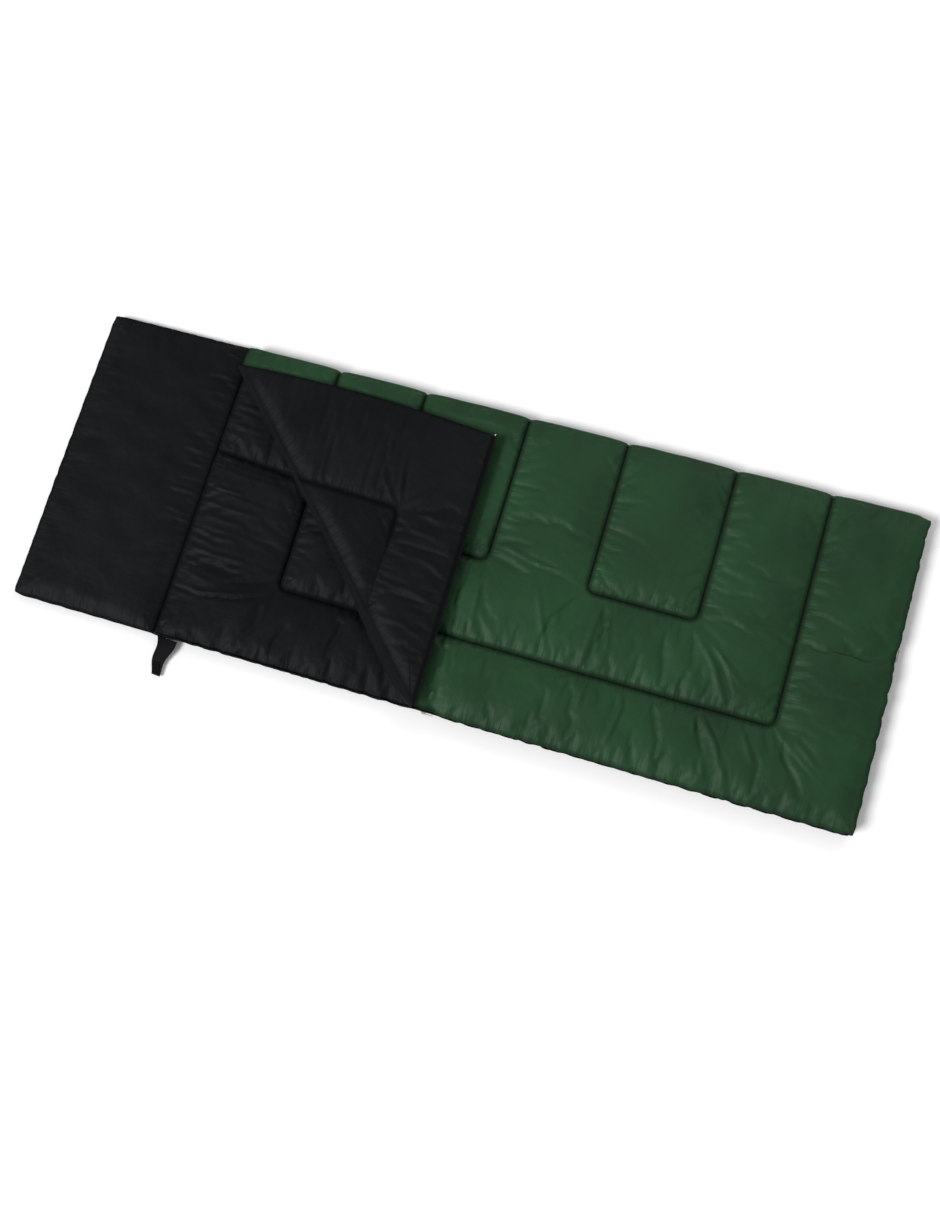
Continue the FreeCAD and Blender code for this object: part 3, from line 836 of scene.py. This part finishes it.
for k in range(9):
    y = 318 - 21 * k + 5 * math.sin(1.3 * k)
    reach = 75 + 35 * math.sin(2.3 * k)
    BASE_FOLDS.append(([(HEM, y), (HEM + reach, y - 10)], 2.6 + math.sin(2.2 * k), 6.5))
HOOD_FOLDS = []
for k in range(22):
    y = 385 - 24 * k + 7 * math.sin(1.9 * k)
    reach = 55 + 30 * math.sin(2.7 * k)
    HOOD_FOLDS.append(([(SEAM - 3, y), (SEAM - 3 - reach, y + 9 * math.sin(1.1 * k))],
                       2.6 + 1.2 * math.sin(2.3 * k), 6.0))
FLAP_FOLDS = [
    ([(-440, -200), (-500, -150), (-560, -120)], 3.0, 8.0),
    ([(-450, -205), (-530, -190), (-600, -185)], 3.0, 8.0),
    ([(-446, -212), (-480, -262), (-530, -300)], 3.2, 8.0),
    ([(-430, -208), (-440, -280), (-428, -350)], 2.6, 9.0),
    ([(-390, -205), (-395, -300), (-375, -390)], 2.4, 9.0),
    ([(-330, -230), (-330, -310), (-300, -388)], 2.4, 10.0),
    ([(-250, -215), (-245, -300), (-232, -388)], 2.6, 9.0),
    ([(-160, -215), (-160, -300), (-140, -388)], 2.2, 9.0),
]

fine_x = axis_marks(upper.x0, upper.x1, FINE, (-440, -200, 80, 340, 620, 860))
fine_y = axis_marks(upper.y0, upper.y1, FINE, (-200, 0, 9))


def add_seam_map(piece, runs, gaps):
    """Stores where every point lies along its seam and how far off it is, for the fine puckers and the
    painted seam shade.
    """
    for label, values in (("seam_run", runs), ("seam_gap", gaps)):
        layer = piece.data.attributes.new(label, "FLOAT", "POINT")
        layer.data.foreach_set("value", (np.ravel(values) * MM).astype(np.float32))


def place_sheet(name, P, up, seams):
    """Makes a sheet from its grid."""
    piece = mesh_piece(name, P, grid_faces(P.shape[0], P.shape[1], up))
    add_seam_map(piece, *seams)
    return piece


# Upper layer, made flat and then cut at the crease
upper.edge_z = (COVER_EDGE + LIP, COVER_EDGE + LIP, SEAM_Z, HEM_EDGE + LIP)
shell_grid, SX, SY = filled(upper, fine_x, fine_y, True, lift=-0.25, growth=0.024, cap=9.0,
                            gather=0.6, folds=COVER_FOLDS)
roof = COVER_TOP + 0.1 + 40.0 * clear_of_flap(shell_grid[..., 0], shell_grid[..., 1])
shell_grid[..., 2] = np.minimum(shell_grid[..., 2], roof)
near_crease = np.exp(-(crease_share(shell_grid[..., 0], shell_grid[..., 1]) / 34.0) ** 6)
shell_grid[..., 2] += (CREASE_AT.z + 0.35 - shell_grid[..., 2]) * near_crease
cover_seams = upper.seam_map(SX, SY)
upper.depth_share = flap_depth
upper.edge_z = (COVER_EDGE - LIP, COVER_EDGE - LIP, SEAM_Z, HEM_EDGE - LIP)
lining_grid, LX, LY = filled(upper, fine_x, fine_y, False, lift=0.2, growth=0.015, cap=8.0,
                             gather=0.5, folds=FLAP_FOLDS)
hidden = smooth((crease_share(lining_grid[..., 0], lining_grid[..., 1]) - 5) / 40.0)
lining_grid[..., 2] = np.maximum(lining_grid[..., 2], 23.5 + 5.2 * hidden)
lining_grid[..., 2] = rounded_to_crease(lining_grid)
ends = smooth(upper.edge_distance(LX, LY) / 12.0)
lining_grid[..., 2] = np.minimum(lining_grid[..., 2], lowest_near(shell_grid[..., 2], 3) - 0.4 - 2.0 * ends)
place, gap = upper.seam_map(LX, LY)
# The lining near the crease takes puckers and painted shade as at a seam
crease_shade_gap = CREASE_SHADE_GAP + 0.8 * np.abs(crease_share(LX, LY))
inner_seams = (np.where(crease_shade_gap < gap, crease_place(LX, LY), place), np.minimum(gap, crease_shade_gap))
cover_shell = place_sheet("cover_shell", shell_grid, True, cover_seams)
cut_at_crease(cover_shell, True)
flap_shell = place_sheet("flap_shell", shell_grid, True, cover_seams)
cut_at_crease(flap_shell, False)
cover_lining = place_sheet("cover_lining_cloth", lining_grid, False, inner_seams)
crease_line = cut_at_crease(cover_lining, True)
flap_lining = place_sheet("flap_lining_cloth", lining_grid, False, inner_seams)
cut_at_crease(flap_lining, False)
for piece in (flap_shell, flap_lining):
    fold_back(piece)

# Base and hood
base_x = np.unique(np.concatenate([
    axis_marks(base.x0, 120.0, FINE, (-424, -200, 80)), axis_marks(120.0, base.x1, COARSE, (340, 620, 860))]))
base_y = axis_marks(base.y0, base.y1, FINE, (-200, 0, 9, 90, 100, 112))
base_top, BX, BY = filled(base, base_x, base_y, True, lift=-0.2, growth=0.024, cap=8.0,
                          gather=0.5, folds=BASE_FOLDS)
open_part = smooth((60.0 - crease_share(base_top[..., 0], base_top[..., 1])) / 60.0)
base_top[..., 2] = np.minimum(base_top[..., 2], 28.6 + 14.0 * open_part)
base_low_x, base_low_y = axis_marks(base.x0, base.x1, COARSE), axis_marks(base.y0, base.y1, COARSE)
base.edge_z = (15.0, 15.0, ZIP_Z, 13.5)
base_low, LBX, LBY = base.surface(base_low_x, base_low_y, False)
hood_x, hood_y = axis_marks(hood.x0, hood.x1, FINE), axis_marks(hood.y0, hood.y1, FINE)
hood_top, HX, HY = filled(hood, hood_x, hood_y, True, lift=-0.10, growth=0.004, cap=3.5,
                          gather=0.5, folds=HOOD_FOLDS)
hood_low_x, hood_low_y = axis_marks(hood.x0, hood.x1, COARSE), axis_marks(hood.y0, hood.y1, COARSE)
hood.edge_z = (11.5, 13.5, 11.5, 11.5)
hood_low, LHX, LHY = hood.surface(hood_low_x, hood_low_y, False)

base_lining = place_sheet("base_lining_cloth", base_top, True, base.seam_map(BX, BY))
base_shell = place_sheet("base_shell", base_low, False, base.seam_map(LBX, LBY))
hood_lining = place_sheet("hood_lining_cloth", hood_top, True, hood.seam_map(HX, HY))
hood_shell = place_sheet("hood_shell", hood_low, False, hood.seam_map(LHX, LHY))

sheets = (("base", base_shell, base_lining), ("hood", hood_shell, hood_lining),
          ("cover", cover_shell, cover_lining), ("flap", flap_shell, flap_lining))
for body, shell, lining in sheets:
    finish_cloth(shell)
    assign(shell, shell_green, body, (body + "_outer_shell",))
    finish_cloth(lining)
    assign(lining, lining_black, body, (body + "_lining", body + "_fill"))


STITCH_PITCH, STITCH_HALF = 4.6, 1.6
THREAD_RADIUS = 0.5     # the thread is 0.5 mm, drawn at 1 mm so that it shows
SIDES = 5               # of the thread's section


def on_grid(grid, xs, ys, x, y):
    """Points of a sheet above flat places."""
    i = np.clip(np.searchsorted(xs, x) - 1, 0, len(xs) - 2)
    j = np.clip(np.searchsorted(ys, y) - 1, 0, len(ys) - 2)
    u = np.clip((x - xs[i]) / (xs[i + 1] - xs[i]), 0, 1)[:, None]
    v = np.clip((y - ys[j]) / (ys[j + 1] - ys[j]), 0, 1)[:, None]
    return ((1 - u) * (1 - v) * grid[i, j] + u * (1 - v) * grid[i + 1, j]
            + (1 - u) * v * grid[i, j + 1] + u * v * grid[i + 1, j + 1])


def stitches(name, grid, xs, ys, lines, lift, keep=None, held=None):
    """Row of thread stitches lying in the sewn valleys."""
    points, faces = [], []
    lifted = np.array((0, 0, lift))
    for number, line in enumerate(lines):
        steps = [math.dist(a, b) for a, b in zip(line, line[1:])]
        gone = np.concatenate([[0], np.cumsum(steps)])
        marks = np.arange(2.0, gone[-1] - 2.0, STITCH_PITCH)
        flat = np.array(line)
        ends = [on_grid(grid, xs, ys, np.interp(marks + shift, gone, flat[:, 0]),
                        np.interp(marks + shift, gone, flat[:, 1])) for shift in (-STITCH_HALF, STITCH_HALF)]
        inside = np.interp(marks, gone, flat[:, 1]) < ys[-1] - 3
        if held:
            inside = inside & (held(number, marks) > 0.5)
        for a, b, ok in zip(ends[0], ends[1], inside):
            share = crease_share(0.5 * (a[0] + b[0]), 0.5 * (a[1] + b[1]))
            if not ok or keep == "cover" and share < 6 or keep == "flap" and share > -6:
                continue
            run = (b - a) / max(np.linalg.norm(b - a), 1e-6)
            across = np.cross(run, (0, 0, 1.0))
            across /= max(np.linalg.norm(across), 1e-6)
            over = np.cross(across, run)
            sunk = lifted - 0.3 * over * np.sign(lift)
            first = len(points)
            points.append(a + sunk)
            for share_along in (0.22, 0.78):
                centre = a + (b - a) * share_along + lifted
                for q in range(SIDES):
                    turn = 2 * math.pi * q / SIDES
                    points.append(centre + THREAD_RADIUS * (across * math.cos(turn) + over * math.sin(turn)))
            points.append(b + sunk)
            for q in range(SIDES):
                one, two = first + 1 + q, first + 1 + (q + 1) % SIDES
                faces.append((first, two, one))
                faces.append((one, two, two + SIDES, one + SIDES))
                faces.append((one + SIDES, two + SIDES, first + 1 + 2 * SIDES))
    piece = mesh_piece(name, points, faces)
    outward(piece)
    return piece


cover_shell_rows = (shell_grid, fine_x, fine_y, upper.lines)
cover_lining_rows = (lining_grid, fine_x, fine_y, upper.lines)
base_lining_rows = (base_top, base_x, base_y, base.lines)
base_shell_rows = (base_low, base_low_x, base_low_y, base.lines)
for name, rows, lift, body, material, nodes in (
        ("cover_stitches", cover_shell_rows, 0.4, "cover", thread_green, ("cover_quilting_thread",)),
        ("cover_lining_stitches", cover_lining_rows, -0.4, "cover", thread_black, ()),
        ("flap_stitches", cover_lining_rows, -0.4, "flap", thread_black, ("flap_quilting_thread",)),
        ("base_lining_stitches", base_lining_rows, 0.4, "base", thread_black, ("base_quilting_thread",)),
        ("base_shell_stitches", base_shell_rows, -0.4, "base", thread_green, ())):
    piece = stitches(name, *rows, lift, body, flap_depth if rows is cover_lining_rows else None)
    if body == "flap":
        fold_back(piece)
    assign(piece, material, body, nodes)

# Roll of lining round the crease: its lower half stays with the cover, its upper half with the corner
crease_ends = [(Vector(p) - CREASE_AT).dot(CREASE_RUN) for p in (crease_line[0], crease_line[-1])]
crease_runs = np.linspace(*crease_ends, 190)
for name, body, first_step, last_step in (("crease_roll_lower", "cover", 0, ARC // 2),
                                          ("crease_roll_upper", "flap", ARC // 2, ARC)):
    roll_points, roll_runs = [], []
    for run in crease_runs:
        centre = CREASE_AT + CREASE_RUN * run
        out = float(fold_shape(run)[0])
        half = CREASE_AT.z - float(crease_low(centre.x, centre.y))
        rise = 1 - math.sqrt(1 - (half / FOLD_HALF) ** 2)
        for k in range(first_step, last_step + 1):
            height = -half * math.cos(math.pi * k / ARC)
            shift = -out + out * (1 - math.sqrt(1 - (height / FOLD_HALF) ** 2)) / rise
            roll_points.append(tuple(centre + CREASE_SIDE * shift + Vector((0, 0, height))))
        side = -1.0 if body == "cover" else 1.0
        roll_points.append(tuple(centre - CREASE_SIDE * 0.3 * out + Vector((0, 0, side * 0.5 * half))))
        roll_runs += [run] * (last_step - first_step + 2)
    roll = mesh_piece(name, roll_points, tube_faces(len(crease_runs), last_step - first_step + 2))
    # The whole roll gets the crease's painted shade, which dims the lit side of the fold
    add_seam_map(roll, roll_runs, [CREASE_SHADE_GAP] * len(roll_runs))
    outward(roll)
    finish_cloth(roll, 0)
    assign(roll, lining_black, body)

# Rounded fold along the far edge, where base and cover are one cloth
fold_marks = np.arange(SEAM + 2.0, FOOT - 8.0, 6.0)


def far_edge(grid, axis):
    """One coordinate of a sheet's far edge at the fold's marks."""
    return np.interp(fold_marks, grid[:, -1, 0], grid[:, -1, axis])


ring_points, ring_weights, ring_runs = [], [], []
for x, high, low, y in zip(fold_marks, far_edge(shell_grid, 2), far_edge(base_low, 2),
                           far_edge(shell_grid, 1)):
    end = float(smooth((FOOT - 8.0 - x) / 26.0)) * float(smooth((x - SEAM + 12.0) / 26.0))
    out = (3.0 + 10.0 * (high - ZIP_Z) / 24.0) * (0.35 + 0.65 * end)
    for k in range(ARC + 1):
        turn = math.pi * (k / ARC - 0.5)
        half = (high - ZIP_Z) if turn > 0 else (ZIP_Z - low)
        ring_points.append((x, y + out * math.cos(turn) ** 0.9, ZIP_Z + half * math.sin(turn)))
        ring_weights.append(k / ARC)
    ring_runs += [x] * (ARC + 1)
far_fold = mesh_piece("far_fold_cloth", ring_points, tube_faces(len(fold_marks), ARC + 1))
outward(far_fold)

# Inside that fold the lining runs on from base to cover
inner_points, inner_weights, inner_runs = [], [], []
for x, low, high, ya, yb in zip(fold_marks, far_edge(base_top, 2), far_edge(lining_grid, 2),
                                far_edge(base_top, 1), far_edge(lining_grid, 1)):
    inner_points.append((x, ya - TUCK, low - 1.6))
    for share in STRIP:
        inner_points.append((x, ya + (yb - ya) * share + 3.0 * math.sin(math.pi * share),
                             low - 0.3 + (high - low + 0.6) * share))
    inner_points.append((x, yb - TUCK, high + 1.6))
    inner_weights += [0.0] + STRIP + [1.0]
    inner_runs += [x] * (len(STRIP) + 2)
inner_faces = grid_faces(len(fold_marks), len(STRIP) + 2, False)
far_fold_lining = mesh_piece("far_fold_lining_cloth", inner_points, inner_faces)
for piece, runs, weights, material, slot, fill in (
        (far_fold, ring_runs, ring_weights, shell_green, "shell_green", 0.5),
        (far_fold_lining, inner_runs, inner_weights, lining_black, "lining_black", 0.1)):
    add_seam_map(piece, runs, [OPEN_GAP] * len(runs))
    finish_cloth(piece, 0)
    dress(piece, material)
    join_bodies(piece)

# ---------------------------------------------------------------- zip

def zip_path(inset, step=8.0):
    """Points along the zip, inset from the outline, round the near-foot corner."""
    x_end, y_edge = FOOT - ZIP_CORNER, NEAR + inset
    points = [(x, y_edge) for x in np.linspace(HEM, x_end, int((x_end - HEM) / step))]
    radius = ZIP_CORNER - inset
    for k in range(1, 10):
        angle = math.radians(-90 + 10 * k)
        points.append((x_end + radius * math.cos(angle), NEAR + ZIP_CORNER + radius * math.sin(angle)))
    ys = np.linspace(NEAR + ZIP_CORNER, ZIP_FAR_END, int((ZIP_FAR_END - NEAR - ZIP_CORNER) / step))
    points += [(FOOT - inset, y) for y in ys]
    return points


def tape_piece(name, inner, z_in, z_out):
    """Zip tape from the quilt's seam out to the row of teeth."""
    a, b = zip_path(inner), zip_path(TAPE_EDGE)
    points = []
    for (xa, ya), (xb, yb) in zip(a, b):
        points.append((xa, ya, z_in))
        points.append((xa + 0.45 * (xb - xa), ya + 0.45 * (yb - ya), z_in + 0.62 * (z_out - z_in)))
        points.append((xb, yb, z_out))
    faces = grid_faces(len(a), 3, z_in > z_out)
    return mesh_piece(name, points, faces)


for body, inner, z_in, z_out in (("base", SEW_IN + 3, 17.0, 26.2), ("cover", SEW_IN + 3, 39.5, 30.2),
                                 ("flap", SEW_IN + 8, 37.5, 30.2)):
    tape = tape_piece(body + "_zip_tape_cloth", inner, z_in, z_out)
    if body != "base":
        cut_at_crease(tape, body == "cover")
    if body == "flap":
        fold_back(tape)
    finish_cloth(tape, 0.7)
    assign(tape, tape_black, body, (body + "_zip_tape",))

# One moulded tooth: a block with softened edges, repeated along the tape
bpy.ops.mesh.primitive_cube_add(size=1.0, location=(0, 0, 0))
tooth = bpy.context.object
tooth.name = "tooth_pattern"
tooth.scale = (1.9 * MM, 3.0 * MM, 2.2 * MM)
bpy.ops.object.transform_apply(location=False, rotation=False, scale=True)
bevel = tooth.modifiers.new("edge", "BEVEL")
bevel.width, bevel.segments = 0.45 * MM, 1
bpy.ops.object.modifier_apply(modifier=bevel.name)
tooth_points = np.array([v.co[:] for v in tooth.data.vertices]) / MM
tooth_faces = [list(p.vertices) for p in tooth.data.polygons]
bpy.data.objects.remove(tooth)


def teeth_row(body, z, offset):
    """A body's row of teeth along the zip, spaced at the tooth pitch."""
    path = np.array(zip_path(TEETH_AT, 4.0))
    steps = np.hypot(*np.diff(path, axis=0).T)
    gone = np.concatenate([[0], np.cumsum(steps)])
    marks = np.arange(TEETH_END + offset, gone[-1] - TEETH_END, TOOTH_PITCH)
    behind, at, ahead = [np.stack([np.interp(marks + shift, gone, path[:, k]) for k in (0, 1)])
                         for shift in (-0.5, 0, 0.5)]
    points, faces = [], []
    for (x, y), (dx, dy) in zip(at.T, (ahead - behind).T):
        share = crease_share(x, y)
        if body == "cover" and share < 3.0 or body == "flap" and share > -3.0:
            continue
        length = math.hypot(dx, dy)
        cosine, sine = dx / length, dy / length
        first = len(points)
        for px, py, pz in tooth_points:
            points.append((x + cosine * px - sine * py, y + sine * px + cosine * py, z + pz))
        faces += [[first + v for v in f] for f in tooth_faces]
    return mesh_piece(body + "_zip_teeth_moulded", points, faces)


for body, z, offset in (("base", 26.6, 0.0), ("cover", 29.8, TOOTH_PITCH / 2),
                        ("flap", 29.8, TOOTH_PITCH / 2)):
    teeth = teeth_row(body, z, offset)
    if body == "flap":
        fold_back(teeth)
    assign(teeth, teeth_black, body, (body + "_zip_teeth",))


def block_piece(name, node_name, bevel_mm, material, move):
    """Small solid with softened edges in place of a node of the flap, moved with its eased corner."""
    bpy.ops.object.select_all(action="DESELECT")
    low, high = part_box(node_name)
    middle = [(a + b) / 2 + d * MM for a, b, d in zip(low, high, move)]
    bpy.ops.mesh.primitive_cube_add(size=1.0, location=middle)
    made = bpy.context.object
    made.name = name
    made.scale = [b - a for a, b in zip(low, high)]
    bpy.ops.object.transform_apply(location=True, rotation=False, scale=True)
    edge = made.modifiers.new("softened edges", "BEVEL")
    edge.width, edge.segments, edge.limit_method = bevel_mm * MM, 2, "NONE"
    bpy.ops.object.modifier_apply(modifier=edge.name)
    bpy.ops.object.shade_smooth_by_angle(angle=math.radians(40))
    made.select_set(False)
    assign(made, material, "flap", (node_name,))


block_piece("flap_zip_stop_pressed", "flap_zip_top_stop", 0.9, stop_aluminium,
            (EASE[0] - 4.0, EASE[1] + 1.0, 1.0))
block_piece("flap_loop_patch_pile", "flap_loop_patch", 0.5, hook_black,
            (EASE[0] - 12.0, EASE[1] - 14.0, 0.0))

# Shell cloth that runs on under the head seam
seam_points, seam_weights, seam_runs = [], [], []
seam_ys = np.arange(NEAR + 6.0, FAR + 3.0, 8.0)
for y in seam_ys:
    for share in STRIP:
        seam_points.append((SEAM + 4.0 - 8.0 * share, y, 13.2 - 0.6 * math.sin(math.pi * share)))
        seam_weights.append(share)
    seam_runs += [y] * len(STRIP)
hood_seam = mesh_piece("hood_seam_cloth", seam_points, grid_faces(len(seam_ys), len(STRIP), True))
add_seam_map(hood_seam, seam_runs, [OPEN_GAP] * len(seam_runs))
finish_cloth(hood_seam, 0)
dress(hood_seam, shell_green)
join_bodies(hood_seam)

# Closure tab: tapered webbing with turned-in edges, drooping to its tip, and its hook patch
TAB_ROOT, TAB_TIP = (-661.0, -401.0), (-665.0, -498.0)
TAB_TOP_Z = 13.4


def tab_strip(name, from_share, to_share, rows, width, lift, hem_rise, thickness):
    """Strip lying along the tab between two shares of its length; gives the piece."""
    places = [-1.0, -0.9, -0.82, -0.3, 0.3, 0.82, 0.9, 1.0]
    points = []
    for t in np.linspace(from_share, to_share, rows):
        middle = TAB_ROOT[0] + (TAB_TIP[0] - TAB_ROOT[0]) * t + 3.5 * math.sin(2.4 * math.pi * t)
        y = TAB_ROOT[1] + (TAB_TIP[1] - TAB_ROOT[1]) * t
        z = TAB_TOP_Z + lift - 7.0 * t ** 2 + 1.6 * math.sin(2 * math.pi * t)
        half = width(t) / 2
        for u in places:
            points.append((middle + half * u, y - 0.07 * half * u, z + (hem_rise if abs(u) > 0.85 else 0.0)))
    piece = mesh_piece(name, points, grid_faces(rows, len(places), False))
    finish_cloth(piece, thickness)
    return piece


tab_strap = tab_strip("closure_tab_webbing", 0.0, 1.0, 34, lambda t: 56.0 - 33.0 * t ** 0.8, 0.0, 0.5, 1.6)
dress(tab_strap, webbing_black)
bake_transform(tab_strap)
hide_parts("closure_tab")
tab_patch = tab_strip("tab_hook_patch_pile", 0.66, 0.96, 12, lambda t: 15.0, 1.5, 0.0, 1.3)
assign(tab_patch, hook_black, "tab", ("tab_hook_patch",))

# ---------------------------------------------------------------- pieces kept from the frame
kept = {
    "base_zip_end_stops": stop_enamel,
    "slider_a_body": slider_nickel, "slider_a_pull": slider_nickel,
    "slider_b_body": slider_nickel, "slider_b_pull": slider_nickel,
    "tab_anchor": webbing_black,
}
for name, material in kept.items():
    dress(frame["nodes"][name], material)
